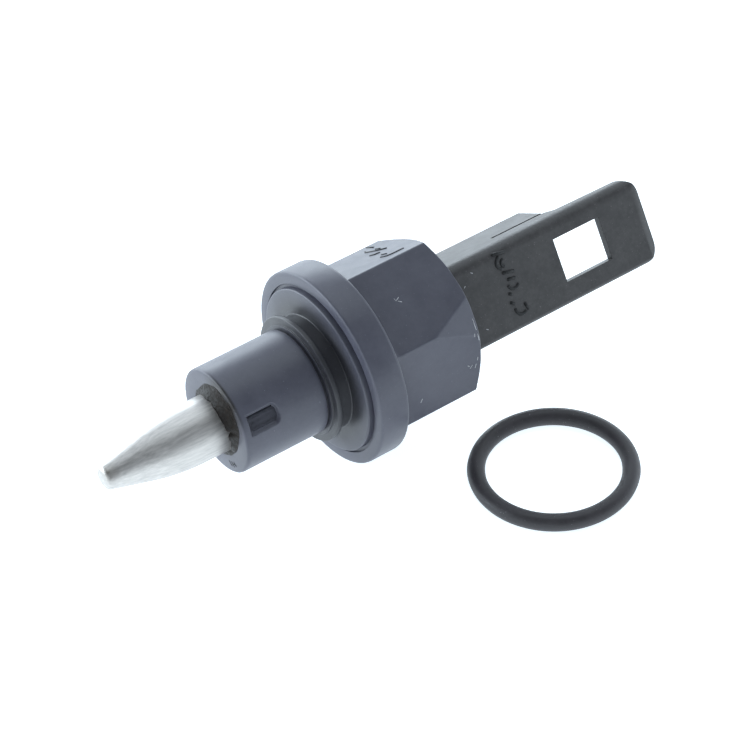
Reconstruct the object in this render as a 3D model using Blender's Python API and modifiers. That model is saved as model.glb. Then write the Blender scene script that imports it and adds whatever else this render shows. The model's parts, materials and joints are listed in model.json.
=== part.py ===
"""Plug-in immersion sensor probe with a latching socket and a loose O-ring.

The probe lies on its flange with its axis along X, the metal tip towards -X. Each piece of the
probe is drawn in the frame of its axis: x runs from the flange's front face to the rear, z points
out through the latch tongue, y lies across the tongue. An empty turns that frame to its rest pose.
"""

import math

import bmesh
import bpy

MM = 0.001

# Rest pose
LATCH_ROLL = math.radians(60.0)      # the tongue leans this far from straight up
CLEARANCE = 0.3 * MM                 # gap between pieces that touch

# Body: hexagon, flange, collars and barrel
HEX_ACROSS_FLATS = 21.0 * MM
HEX_LENGTH = 13.8 * MM
HEX_CHAMFER_ANGLE = math.radians(30.0)
HEX_CHAMFER_RADIUS = 10.6 * MM       # circle left on the hexagon's rear face
FLANGE_RADIUS = 13.65 * MM
FLANGE_WIDTH = 4.4 * MM
FLANGE_EDGE = 0.35 * MM
RELIEF_OUTER_RADIUS = 11.95 * MM
RELIEF_DEPTH = 0.35 * MM
BOSS_RADIUS = 11.5 * MM
BOSS_HEIGHT = 0.6 * MM
BOSS_EDGE = 0.2 * MM
SEAL_NECK_RADIUS = 8.0 * MM
SEAL_GROOVE_WIDTH = 2.05 * MM
COLLAR_RADIUS = 8.8 * MM
COLLAR_WIDTH = 0.7 * MM
COLLAR_STEP_RADIUS = 7.75 * MM
COLLAR_STEP_WIDTH = 0.2 * MM
BARREL_RADIUS = 7.3 * MM
BARREL_GROOVE_DEPTH = 0.4 * MM
BARREL_GROOVE_WIDTH = 0.35 * MM
BARREL_LENGTH = 12.3 * MM
BARREL_CHAMFER = 0.42 * MM
POCKET_LENGTH = 4.4 * MM
POCKET_WIDTH = 2.8 * MM
POCKET_DEPTH = 0.6 * MM
POCKET_NOSE = 0.77 * MM              # length of the pocket's rounded rear end
POCKET_TURN = math.radians(4.0)      # round the axis, away from the tongue's middle
POCKET_RIM = 1.1 * MM                # from the barrel's front face to the pocket
FACET_LENGTH = 7.2 * MM              # flat cut on the hexagon corner in line with the tongue
FACET_SLOPE = math.radians(12.5)

# Sheath and what it holds
SHEATH_RADIUS = 4.0 * MM
SHEATH_WALL = 0.5 * MM
SHEATH_EXPOSED = 16.9 * MM           # from the barrel's front face to the nose
SHEATH_BURIED = 9.9 * MM
TAPER_LENGTH = 13.2 * MM             # from the nose to the full radius
TAPER_ANGLE = math.radians(14.4)     # of the cone behind the nose
TAPER_ARC_RADIUS = 29.0 * MM         # of the curve that leads the cone into the full radius
NOSE_EDGE = 0.7 * MM
POTTING_WALL = 0.45 * MM
POTTING_DEPTH = 1.4 * MM
POTTING_SETBACK = 0.3 * MM
FILLER_LENGTH = 11.8 * MM
FILLER_FLARE = 1.5 * MM              # from the bead's pocket to the sleeves' passage
BEAD_RADIUS = 1.1 * MM
BEAD_LENGTH = 2.2 * MM
BEAD_FROM_NOSE = 4.6 * MM
LEAD_RADIUS = 0.2 * MM
LEAD_GAP_AT_BEAD = 0.9 * MM
LEAD_SPREAD = 1.7 * MM               # length over which the wires part behind the bead
SLEEVE_WALL = 0.3 * MM
SLEEVE_LENGTH = 25.0 * MM
SEAL_PLUG_LENGTH = 4.5 * MM

# Socket
REAR_BORE_RADIUS = 8.8 * MM
REAR_BORE_DEPTH = 10.2 * MM
LEAD_BORE_RADIUS = 4.0 * MM
SHROUD_WIDTH = 12.0 * MM
SHROUD_FRONT = 6.25 * MM             # tongue side of the shroud, from the axis
SHROUD_BACK = 3.6 * MM               # far side of the shroud, from the axis
SHROUD_WALL = 1.2 * MM
SHROUD_EDGE = 1.8 * MM
SHROUD_SMALL_EDGE = 0.6 * MM
SHROUD_LENGTH = 19.5 * MM            # past the hexagon's rear face
SOCKET_FLOOR = 2.0 * MM              # past the hexagon's rear face
TONGUE_ROOT = 10.8 * MM              # past the hexagon's rear face
TONGUE_LENGTH = 21.55 * MM
TONGUE_LIP_DEPTH = 3.8 * MM
TONGUE_FREE_LIP_DEPTH = 2.6 * MM
TONGUE_END_LIP_DEPTH = 1.8 * MM
TONGUE_CORNER = 2.4 * MM
TONGUE_END_CHAMFER_LENGTH = 1.3 * MM
TONGUE_END_CHAMFER_DEPTH = 0.4 * MM
WINDOW_LENGTH = 7.78 * MM
WINDOW_WIDTH = 6.1 * MM
WINDOW_FROM_END = 7.4 * MM
PIN_WIDTH = 2.8 * MM
PIN_THICKNESS = 0.8 * MM
PIN_SPACING = 5.2 * MM
PIN_SETBACK = 4.7 * MM               # pin end to shroud end
PIN_TAIL_WIDTH = 0.8 * MM
PIN_TAIL_LENGTH = 5.0 * MM
PIN_TAIL_EXPOSED = 3.5 * MM          # ahead of the rear bore's floor
PIN_NOSE = 0.7 * MM

# O-ring and where it lies, from the centre of the flange's front face
RING_INNER_DIAMETER = 17.8 * MM
RING_SECTION = 2.4 * MM
RING_REAR_OFFSET = 19.95 * MM
RING_SIDE_OFFSET = 23.25 * MM

# Facets round a turn, how far cutters reach past what they cut, and what counts as one point
FINE_STEPS = 64
COARSE_STEPS = 24
BEYOND = 1.0 * MM
WELD = 0.001 * MM

# Places along the axis, worked out from the sizes
HEX_END = FLANGE_WIDTH + HEX_LENGTH
BOSS_FACE = -BOSS_HEIGHT
COLLAR_REAR = BOSS_FACE - SEAL_GROOVE_WIDTH
COLLAR_FRONT = COLLAR_REAR - COLLAR_WIDTH
COLLAR_STEP_FRONT = COLLAR_FRONT - COLLAR_STEP_WIDTH
BARREL_REAR = COLLAR_STEP_FRONT - BARREL_GROOVE_WIDTH
BARREL_FRONT = BARREL_REAR - BARREL_LENGTH
NOSE = BARREL_FRONT - SHEATH_EXPOSED
TAPER_REAR = NOSE + TAPER_LENGTH
SHEATH_REAR = BARREL_FRONT + SHEATH_BURIED
REAR_BORE_FLOOR = HEX_END - REAR_BORE_DEPTH
PLUG_FRONT = REAR_BORE_FLOOR + CLEARANCE
SHROUD_END = HEX_END + SHROUD_LENGTH
SOCKET_FLOOR_X = HEX_END + SOCKET_FLOOR
TONGUE_ROOT_X = HEX_END + TONGUE_ROOT
TONGUE_START = TONGUE_ROOT_X + CLEARANCE
TONGUE_END = TONGUE_START + TONGUE_LENGTH
WINDOW_END = TONGUE_END - WINDOW_FROM_END
WINDOW_START = WINDOW_END - WINDOW_LENGTH
PIN_END = SHROUD_END - PIN_SETBACK
PIN_TAIL_FRONT = REAR_BORE_FLOOR - PIN_TAIL_EXPOSED
BEAD_CENTRE = NOSE + BEAD_FROM_NOSE + BEAD_LENGTH / 2
FILLER_REAR = NOSE + SHEATH_WALL + FILLER_LENGTH

# Sizes that follow from a neighbour and a clearance
SHEATH_BORE_RADIUS = SHEATH_RADIUS + CLEARANCE
RECESS_RADIUS = SHEATH_BORE_RADIUS + POTTING_WALL + CLEARANCE
SLEEVE_INNER_RADIUS = LEAD_RADIUS + CLEARANCE
SLEEVE_RADIUS = SLEEVE_INNER_RADIUS + SLEEVE_WALL
SLEEVE_OFFSET = SLEEVE_RADIUS + CLEARANCE
SLEEVE_PASSAGE_RADIUS = SLEEVE_OFFSET + SLEEVE_RADIUS + CLEARANCE
PLUG_RADIUS = REAR_BORE_RADIUS - CLEARANCE
PIN_INNER_EDGE = (PIN_SPACING - PIN_WIDTH) / 2
TAPER_ARC_REACH = TAPER_ARC_RADIUS * math.sin(TAPER_ANGLE)
TONGUE_BACK = SHROUD_FRONT - SHROUD_WALL
SLIT_FLOOR = SHROUD_FRONT - TONGUE_LIP_DEPTH - CLEARANCE
RING_RADIUS = (RING_INNER_DIAMETER + RING_SECTION) / 2
RING_OUTER_RADIUS = RING_RADIUS + RING_SECTION / 2

# The origin is under the middle of everything, on the surface that the probe lies on
AXIS_X = -(NOSE + TONGUE_END) / 2
AXIS_Y = (RING_SIDE_OFFSET + RING_OUTER_RADIUS - FLANGE_RADIUS) / 2
AXIS_Z = FLANGE_RADIUS


def clear_scene():
    for item in list(bpy.data.objects):
        bpy.data.objects.remove(item, do_unlink=True)


def new_collection(name):
    collection = bpy.data.collections.new(name)
    bpy.context.scene.collection.children.link(collection)
    return collection


def make_material(name, colour, roughness, metallic=0.0):
    material = bpy.data.materials.new(name)
    material.use_nodes = True
    shader = material.node_tree.nodes["Principled BSDF"]
    shader.inputs["Base Color"].default_value = (*colour, 1.0)
    shader.inputs["Roughness"].default_value = roughness
    shader.inputs["Metallic"].default_value = metallic
    return material


clear_scene()
parts = new_collection("flame_sensor_probe")
cutters = new_collection("cutters")
axis_frame = bpy.data.objects.new("axis_frame", None)
axis_frame.location = (AXIS_X, AXIS_Y, AXIS_Z)
axis_frame.rotation_euler = (LATCH_ROLL, 0.0, 0.0)
parts.objects.link(axis_frame)


def add_object(name, data, material=None):
    """Link a piece to the parts, or a cutter to the cutters when it has no material."""
    item = bpy.data.objects.new(name, data)
    item.parent = axis_frame
    if material:
        data.materials.append(material)
        parts.objects.link(item)
    else:
        cutters.objects.link(item)
        item.hide_render = True
        item.display_type = "WIRE"
    return item


def turned(name, profile, material=None, steps=FINE_STEPS, across=0.0, closed=False):
    """Turn a profile of (radius, x) points about an axis parallel to the probe's."""
    mesh = bpy.data.meshes.new(name)
    points = [(radius, 0.0, place) for radius, place in profile]
    edges = [(i, i + 1) for i in range(len(points) - 1)]
    if closed:
        edges.append((len(points) - 1, 0))
    mesh.from_pydata(points, edges, [])
    item = add_object(name, mesh, material)
    item.rotation_euler = (0.0, math.radians(90.0), 0.0)
    item.location.y = across
    screw = item.modifiers.new("turn", "SCREW")
    screw.axis = "Z"
    screw.steps = steps
    screw.render_steps = steps
    screw.use_merge_vertices = True
    screw.merge_threshold = WELD
    screw.use_smooth_shade = False
    return item


def block(name, x_range, y_range, z_range, material=None):
    """A box between the given limits in the frame of the axis."""
    limits = (x_range, y_range, z_range)
    sheet = bmesh.new()
    bmesh.ops.create_cube(sheet, size=1.0)
    for axis, (low, high) in enumerate(limits):
        for vertex in sheet.verts:
            vertex.co[axis] = low if vertex.co[axis] < 0 else high
    mesh = bpy.data.meshes.new(name)
    sheet.to_mesh(mesh)
    sheet.free()
    return add_object(name, mesh, material)


def plate(name, outline, thickness, material=None, plane="XY", level=0.0):
    """A flat outline, drawn in XY or XZ, as a solid of the given thickness round its level."""
    curve = bpy.data.curves.new(name, "CURVE")
    curve.dimensions = "2D"
    curve.fill_mode = "BOTH"
    curve.extrude = thickness / 2
    spline = curve.splines.new("POLY")
    spline.points.add(len(outline) - 1)
    for point, (first, second) in zip(spline.points, outline):
        point.co = (first, second, 0.0, 1.0)
    spline.use_cyclic_u = True
    drawn = bpy.data.objects.new(name + "_outline", curve)
    cutters.objects.link(drawn)
    depsgraph = bpy.context.evaluated_depsgraph_get()
    mesh = bpy.data.meshes.new_from_object(drawn.evaluated_get(depsgraph))
    bpy.data.objects.remove(drawn, do_unlink=True)
    sheet = bmesh.new()
    sheet.from_mesh(mesh)
    bmesh.ops.remove_doubles(sheet, verts=sheet.verts, dist=WELD)
    bmesh.ops.recalc_face_normals(sheet, faces=sheet.faces)
    sheet.to_mesh(mesh)
    sheet.free()
    item = add_object(name, mesh, material)
    if plane == "XZ":
        item.rotation_euler.x = math.radians(90.0)
        item.location.y = level
    else:
        item.location.z = level
    return item


def combine(item, other, operation):
    boolean = item.modifiers.new(other.name, "BOOLEAN")
    boolean.operation = operation
    boolean.object = other


def round_edges(item, width, share, segments=4):
    """Round a box's edges by a share of the width, given each edge's middle and direction."""
    weights = item.data.attributes.new("bevel_weight_edge", "FLOAT", "EDGE")
    for edge in item.data.edges:
        start, end = (item.data.vertices[i].co for i in edge.vertices)
        weights.data[edge.index].value = share((start + end) / 2, (end - start).normalized())
    bevel = item.modifiers.new("rounded", "BEVEL")
    bevel.width = width
    bevel.segments = segments
    bevel.limit_method = "WEIGHT"


def arc(centre_radius, centre_x, size, start, end, steps=3):
    """Points of an edge round in a turned profile; angles in degrees from straight outwards."""
    points = []
    for step in range(steps + 1):
        angle = math.radians(start + (end - start) * step / steps)
        radius = centre_radius + size * math.cos(angle)
        points.append((radius, centre_x + size * math.sin(angle)))
    return points


def taper(offset, first_x, last_x, steps=12):
    """Profile of the sheath's taper, moved in by an offset, from the rear to the front."""
    points = []
    for step in range(steps + 1):
        place = first_x + (last_x - first_x) * step / steps
        reach = max(TAPER_REAR - place, 0.0)
        on_arc = min(reach, TAPER_ARC_REACH)
        drop = TAPER_ARC_RADIUS - math.sqrt(TAPER_ARC_RADIUS**2 - on_arc**2)
        drop += (reach - on_arc) * math.tan(TAPER_ANGLE)
        points.append((SHEATH_RADIUS - offset - drop, place))
    return points


def is_long_edge(direction):
    return abs(direction.x) > 0.9


# Materials
body_plastic = make_material("body_plastic", (0.095, 0.105, 0.135), 0.45)
socket_plastic = make_material("socket_plastic", (0.06, 0.062, 0.068), 0.5)
sheath_metal = make_material("sheath_metal", (0.78, 0.77, 0.75), 0.3, metallic=1.0)
resin = make_material("resin", (0.05, 0.035, 0.025), 0.5)
rubber = make_material("rubber", (0.02, 0.02, 0.022), 0.6)
glass = make_material("glass", (0.45, 0.22, 0.1), 0.1)
paste = make_material("paste", (0.7, 0.7, 0.68), 0.6)
wire_metal = make_material("wire_metal", (0.75, 0.5, 0.35), 0.3, metallic=1.0)
sleeve_plastic = make_material("sleeve_plastic", (0.8, 0.78, 0.7), 0.5)
tinned_brass = make_material("tinned_brass", (0.8, 0.78, 0.7), 0.25, metallic=1.0)


def build_body():
    """Barrel, collars and flange in one turning, joined to the chamfered hexagon and bored."""
    hub_radius = REAR_BORE_RADIUS + CLEARANCE
    hub_rear = FLANGE_WIDTH + HEX_LENGTH / 4
    rim = FLANGE_RADIUS - FLANGE_EDGE
    groove_radius = BARREL_RADIUS - BARREL_GROOVE_DEPTH
    profile = [(0.0, hub_rear), (hub_radius, hub_rear), (hub_radius, FLANGE_WIDTH)]
    profile += arc(rim, FLANGE_WIDTH - FLANGE_EDGE, FLANGE_EDGE, 90, 0)
    profile += arc(rim, FLANGE_EDGE, FLANGE_EDGE, 0, -90)
    profile += [
        (RELIEF_OUTER_RADIUS, 0.0),
        (RELIEF_OUTER_RADIUS, RELIEF_DEPTH),
        (BOSS_RADIUS, RELIEF_DEPTH),
        (BOSS_RADIUS, BOSS_FACE + BOSS_EDGE),
        (BOSS_RADIUS - BOSS_EDGE, BOSS_FACE),
        (SEAL_NECK_RADIUS, BOSS_FACE),
        (SEAL_NECK_RADIUS, COLLAR_REAR),
        (COLLAR_RADIUS, COLLAR_REAR),
        (COLLAR_RADIUS, COLLAR_FRONT),
        (COLLAR_STEP_RADIUS, COLLAR_FRONT),
        (COLLAR_STEP_RADIUS, COLLAR_STEP_FRONT),
        (groove_radius, COLLAR_STEP_FRONT),
        (groove_radius, BARREL_REAR),
        (BARREL_RADIUS, BARREL_REAR),
        (BARREL_RADIUS, BARREL_FRONT + BARREL_CHAMFER),
        (BARREL_RADIUS - BARREL_CHAMFER, BARREL_FRONT),
        (0.0, BARREL_FRONT),
    ]
    body = turned("probe_body", profile, body_plastic)

    hexagon = build_hexagon()
    combine(body, hexagon, "UNION")

    bores = turned("body_bores", [
        (0.0, HEX_END + BEYOND),
        (REAR_BORE_RADIUS, HEX_END + BEYOND),
        (REAR_BORE_RADIUS, REAR_BORE_FLOOR),
        (LEAD_BORE_RADIUS, REAR_BORE_FLOOR),
        (LEAD_BORE_RADIUS, SHEATH_REAR + CLEARANCE),
        (SHEATH_BORE_RADIUS, SHEATH_REAR + CLEARANCE),
        (SHEATH_BORE_RADIUS, BARREL_FRONT + POTTING_SETBACK + POTTING_DEPTH + CLEARANCE),
        (RECESS_RADIUS, BARREL_FRONT + POTTING_SETBACK + POTTING_DEPTH + CLEARANCE),
        (RECESS_RADIUS, BARREL_FRONT - BEYOND),
        (0.0, BARREL_FRONT - BEYOND),
    ], steps=48)
    combine(body, bores, "DIFFERENCE")
    combine(body, build_pocket(), "DIFFERENCE")
    return body


def build_hexagon():
    corner_radius = HEX_ACROSS_FLATS / math.sqrt(3.0)
    hex_front = FLANGE_WIDTH / 2
    sheet = bmesh.new()
    bmesh.ops.create_cone(sheet, cap_ends=True, segments=6, radius1=corner_radius,
                          radius2=corner_radius, depth=HEX_END - hex_front)
    mesh = bpy.data.meshes.new("hexagon")
    sheet.to_mesh(mesh)
    sheet.free()
    hexagon = add_object("hexagon", mesh)
    hexagon.location.x = (HEX_END + hex_front) / 2
    hexagon.rotation_euler = (math.radians(90.0), 0.0, math.radians(90.0))

    chamfer_drop = (2 * corner_radius - HEX_CHAMFER_RADIUS) * math.tan(HEX_CHAMFER_ANGLE)
    turning = turned("hexagon_turning", [
        (0.0, HEX_END),
        (HEX_CHAMFER_RADIUS, HEX_END),
        (2 * corner_radius, HEX_END - chamfer_drop),
        (2 * corner_radius, 0.0),
        (0.0, 0.0),
    ])
    combine(hexagon, turning, "INTERSECT")

    start = HEX_END - FACET_LENGTH
    end = HEX_END + BEYOND
    facet = plate("hexagon_facet", [
        (start, corner_radius),
        (end, corner_radius - (end - start) * math.tan(FACET_SLOPE)),
        (end, 2 * corner_radius),
        (start, 2 * corner_radius),
    ], 2 * corner_radius, plane="XZ")
    combine(hexagon, facet, "DIFFERENCE")
    return hexagon


def build_pocket():
    """Flat-floored pocket almost in line with the tongue, with an elliptical rear end."""
    front = BARREL_FRONT + POCKET_RIM
    half = POCKET_WIDTH / 2
    nose_start = front + POCKET_LENGTH - POCKET_NOSE
    outline = [(front, -half)]
    for step in range(9):
        angle = math.radians(-90.0 + 180.0 * step / 8)
        outline.append((nose_start + POCKET_NOSE * math.cos(angle), half * math.sin(angle)))
    outline.append((front, half))
    height = POCKET_DEPTH + BEYOND
    level = BARREL_RADIUS - POCKET_DEPTH + height / 2
    pocket = plate("barrel_pocket", outline, height)
    pocket.rotation_euler.x = POCKET_TURN
    pocket.location = (0.0, -level * math.sin(POCKET_TURN), level * math.cos(POCKET_TURN))
    return pocket


def build_sheath():
    inner_nose = NOSE + SHEATH_WALL
    inner = taper(SHEATH_WALL, TAPER_REAR, inner_nose)[::-1]
    nose_top = NOSE + NOSE_EDGE
    outer = taper(0.0, TAPER_REAR, nose_top)
    profile = [(0.0, inner_nose)] + inner
    profile += [(SHEATH_RADIUS - SHEATH_WALL, SHEATH_REAR), (SHEATH_RADIUS, SHEATH_REAR)]
    profile += outer
    edge_radius = outer[-1][0]
    profile += arc(edge_radius - NOSE_EDGE, nose_top, NOSE_EDGE, -30, -90, steps=2)
    profile.append((0.0, NOSE))
    turned("sensor_tip", profile, sheath_metal, steps=48)


def build_potting():
    front = BARREL_FRONT + POTTING_SETBACK
    rear = front + POTTING_DEPTH
    inner = SHEATH_BORE_RADIUS
    outer = RECESS_RADIUS - CLEARANCE
    turned("tip_potting", [(outer, rear), (outer, front), (inner, front), (inner, rear)],
           resin, steps=48, closed=True)


def build_filler_and_bead():
    offset = SHEATH_WALL + CLEARANCE
    pocket_radius = BEAD_RADIUS + CLEARANCE
    pocket_front = BEAD_CENTRE - BEAD_LENGTH / 2 - CLEARANCE
    pocket_rear = BEAD_CENTRE + BEAD_LENGTH / 2 + CLEARANCE
    filler_nose = NOSE + offset
    profile = [
        (0.0, pocket_front),
        (pocket_radius, pocket_front),
        (pocket_radius, pocket_rear),
        (SLEEVE_PASSAGE_RADIUS, pocket_rear + FILLER_FLARE),
        (SLEEVE_PASSAGE_RADIUS, FILLER_REAR),
    ]
    profile += taper(offset, FILLER_REAR, filler_nose, steps=8)
    profile.append((0.0, filler_nose))
    turned("thermal_filler", profile, paste, steps=COARSE_STEPS)

    bead = []
    for step in range(9):
        angle = math.radians(90.0 - 180.0 * step / 8)
        bead.append((BEAD_RADIUS * math.cos(angle),
                     BEAD_CENTRE + BEAD_LENGTH / 2 * math.sin(angle)))
    bead[0] = (0.0, bead[0][1])
    bead[-1] = (0.0, bead[-1][1])
    turned("thermistor_bead", bead, glass, steps=COARSE_STEPS)


def build_lead(suffix, side):
    """One wire with its sleeve; side is +1 or -1 across the tongue."""
    start = BEAD_CENTRE + BEAD_LENGTH / 2 + CLEARANCE
    spread = start + LEAD_SPREAD
    tail_centre = PIN_INNER_EDGE + PIN_TAIL_WIDTH / 2
    lead_end = PIN_TAIL_FRONT - CLEARANCE
    sleeve_front = spread + CLEARANCE
    sleeve_rear = sleeve_front + SLEEVE_LENGTH
    route = [
        (start, LEAD_GAP_AT_BEAD / 2),
        (spread, SLEEVE_OFFSET),
        (sleeve_rear + CLEARANCE, SLEEVE_OFFSET),
        (lead_end - 4 * LEAD_RADIUS, tail_centre),
        (lead_end, tail_centre),
    ]
    curve = bpy.data.curves.new("lead_" + suffix, "CURVE")
    curve.dimensions = "3D"
    curve.bevel_depth = LEAD_RADIUS
    curve.bevel_resolution = 2
    curve.use_fill_caps = True
    spline = curve.splines.new("POLY")
    spline.points.add(len(route) - 1)
    for point, (place, across) in zip(spline.points, route):
        point.co = (place, side * across, 0.0, 1.0)
    add_object("lead_" + suffix, curve, wire_metal)

    turned("lead_sleeve_" + suffix, [
        (SLEEVE_RADIUS, sleeve_rear),
        (SLEEVE_RADIUS, sleeve_front),
        (SLEEVE_INNER_RADIUS, sleeve_front),
        (SLEEVE_INNER_RADIUS, sleeve_rear),
    ], sleeve_plastic, steps=16, across=side * SLEEVE_OFFSET, closed=True)


def build_cavity_seal():
    front = SHEATH_REAR + 2 * CLEARANCE
    rear = front + SEAL_PLUG_LENGTH
    outer = LEAD_BORE_RADIUS - CLEARANCE
    turned("cavity_seal", [
        (outer, rear),
        (outer, front),
        (SLEEVE_PASSAGE_RADIUS, front),
        (SLEEVE_PASSAGE_RADIUS, rear),
    ], resin, steps=COARSE_STEPS, closed=True)


def build_terminal(suffix, side):
    """A flat pin with a narrow tail at its inner edge and a tapered end."""
    inner = PIN_INNER_EDGE
    outer = inner + PIN_WIDTH
    tail = inner + PIN_TAIL_WIDTH
    shoulder = PIN_TAIL_FRONT + PIN_TAIL_LENGTH
    outline = [
        (PIN_TAIL_FRONT, inner),
        (PIN_END - PIN_NOSE, inner),
        (PIN_END, inner + PIN_NOSE),
        (PIN_END, outer - PIN_NOSE),
        (PIN_END - PIN_NOSE, outer),
        (shoulder, outer),
        (shoulder, tail),
        (PIN_TAIL_FRONT, tail),
    ]
    outline = [(place, side * across) for place, across in outline]
    plate("terminal_" + suffix, outline, PIN_THICKNESS, tinned_brass)


def shroud_section(name, x_range, material=None):
    """The shroud's outer box, its two long edges on the tongue side rounded unequally."""
    half = SHROUD_WIDTH / 2
    item = block(name, x_range, (-half, half), (-SHROUD_BACK, SHROUD_FRONT), material)

    def share(middle, direction):
        if not is_long_edge(direction) or middle.z < 0:
            return 0.0
        return 1.0 if middle.y > 0 else SHROUD_SMALL_EDGE / SHROUD_EDGE

    round_edges(item, SHROUD_EDGE, share)
    return item


def build_housing():
    """Round plug in the rear bore and a square shroud open to the rear and to the tongue."""
    plug_rear = HEX_END + CLEARANCE
    core_radius = SHROUD_BACK - SHROUD_WALL
    core_rear = (plug_rear + SOCKET_FLOOR_X) / 2
    housing = shroud_section("connector_housing", (plug_rear, SHROUD_END), socket_plastic)
    plug = turned("housing_plug", [
        (0.0, core_rear),
        (core_radius, core_rear),
        (core_radius, plug_rear),
        (PLUG_RADIUS, plug_rear),
        (PLUG_RADIUS, PLUG_FRONT),
        (0.0, PLUG_FRONT),
    ], steps=48)
    combine(housing, plug, "UNION")

    inside = SHROUD_WIDTH / 2 - SHROUD_WALL
    socket = block("socket_space", (SOCKET_FLOOR_X, SHROUD_END + BEYOND), (-inside, inside),
                   (-SHROUD_BACK + SHROUD_WALL, TONGUE_BACK))
    combine(housing, socket, "DIFFERENCE")
    tongue_space = block("tongue_space", (TONGUE_ROOT_X, SHROUD_END + BEYOND),
                         (-SHROUD_WIDTH, SHROUD_WIDTH), (SLIT_FLOOR, SHROUD_FRONT + BEYOND))
    combine(housing, tongue_space, "DIFFERENCE")

    slot_inner = PIN_INNER_EDGE - CLEARANCE
    slot_outer = PIN_INNER_EDGE + PIN_WIDTH + CLEARANCE
    slot_half = PIN_THICKNESS / 2 + CLEARANCE
    for suffix, side in (("a", 1), ("b", -1)):
        across = sorted((side * slot_inner, side * slot_outer))
        slot = block("pin_slot_" + suffix, (PLUG_FRONT - BEYOND, SOCKET_FLOOR_X + BEYOND / 2),
                     across, (-slot_half, slot_half))
        combine(housing, slot, "DIFFERENCE")


def build_tongue():
    """Channel-section tongue with a square window, hinged where the slit ends."""
    tongue = shroud_section("latch_tongue", (TONGUE_START, TONGUE_END), socket_plastic)
    half = SHROUD_WIDTH / 2
    inside = half - SHROUD_WALL
    depth = SHROUD_FRONT + SHROUD_BACK

    plan = [(TONGUE_START - BEYOND, -half - BEYOND), (TONGUE_END - TONGUE_CORNER, -half - BEYOND)]
    for corner_side, first in ((-1, -90.0), (1, 0.0)):
        for step in range(6):
            angle = math.radians(first + 90.0 * step / 5)
            plan.append((TONGUE_END - TONGUE_CORNER + TONGUE_CORNER * math.cos(angle),
                         corner_side * (half - TONGUE_CORNER) + TONGUE_CORNER * math.sin(angle)))
    plan += [(TONGUE_END - TONGUE_CORNER, half + BEYOND), (TONGUE_START - BEYOND, half + BEYOND)]
    outline = plate("tongue_plan", plan, 4 * depth)
    combine(tongue, outline, "INTERSECT")

    lip_end = SHROUD_END + CLEARANCE
    taper_start = lip_end + (TONGUE_LIP_DEPTH - TONGUE_FREE_LIP_DEPTH)
    under = plate("tongue_underside", [
        (TONGUE_START - BEYOND, SHROUD_FRONT - TONGUE_LIP_DEPTH),
        (TONGUE_START - BEYOND, -SHROUD_BACK - BEYOND),
        (TONGUE_END + BEYOND, -SHROUD_BACK - BEYOND),
        (TONGUE_END + BEYOND, SHROUD_FRONT - TONGUE_END_LIP_DEPTH),
        (taper_start, SHROUD_FRONT - TONGUE_FREE_LIP_DEPTH),
        (lip_end, SHROUD_FRONT - TONGUE_LIP_DEPTH),
    ], 2 * SHROUD_WIDTH, plane="XZ")
    combine(tongue, under, "DIFFERENCE")

    channel = block("tongue_channel", (TONGUE_START - BEYOND, TONGUE_END - TONGUE_CORNER),
                    (-inside, inside), (-SHROUD_BACK - 2 * BEYOND, TONGUE_BACK))
    combine(tongue, channel, "DIFFERENCE")
    window = block("tongue_window", (WINDOW_START, WINDOW_END),
                   (-WINDOW_WIDTH / 2, WINDOW_WIDTH / 2), (0.0, SHROUD_FRONT + BEYOND))
    combine(tongue, window, "DIFFERENCE")

    slope = TONGUE_END_CHAMFER_DEPTH / TONGUE_END_CHAMFER_LENGTH
    chamfer = plate("tongue_chamfer", [
        (TONGUE_END - TONGUE_END_CHAMFER_LENGTH, SHROUD_FRONT),
        (TONGUE_END + BEYOND, SHROUD_FRONT - TONGUE_END_CHAMFER_DEPTH - slope * BEYOND),
        (TONGUE_END + BEYOND, SHROUD_FRONT + BEYOND),
        (TONGUE_END - TONGUE_END_CHAMFER_LENGTH, SHROUD_FRONT + BEYOND),
    ], 2 * SHROUD_WIDTH, plane="XZ")
    combine(tongue, chamfer, "DIFFERENCE")


def build_o_ring():
    bpy.ops.mesh.primitive_torus_add(major_radius=RING_RADIUS, minor_radius=RING_SECTION / 2,
                                     major_segments=64, minor_segments=16)
    ring = bpy.context.object
    ring.name = "o_ring"
    ring.location = (AXIS_X + RING_REAR_OFFSET, AXIS_Y - RING_SIDE_OFFSET, RING_SECTION / 2)
    ring.data.materials.append(rubber)
    for collection in list(ring.users_collection):
        collection.objects.unlink(ring)
    parts.objects.link(ring)


def shade_round_pieces():
    """Shade faces smooth on the pieces with faces of their own, with sharp edges kept."""
    for item in parts.objects:
        if item.type == "MESH" and len(item.data.polygons) > 0:
            item.data.shade_smooth()
            item.data.set_sharp_from_angle(angle=math.radians(35.0))


build_body()
build_sheath()
build_potting()
build_filler_and_bead()
for lead_suffix, lead_side in (("a", 1), ("b", -1)):
    build_lead(lead_suffix, lead_side)
    build_terminal(lead_suffix, lead_side)
build_cavity_seal()
build_housing()
build_tongue()
build_o_ring()
shade_round_pieces()
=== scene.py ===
"""Looks of the boiler probe: skins, materials, floor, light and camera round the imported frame."""

import json
import math

import bmesh
import bpy
from mathutils import Matrix, Vector, noise


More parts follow.
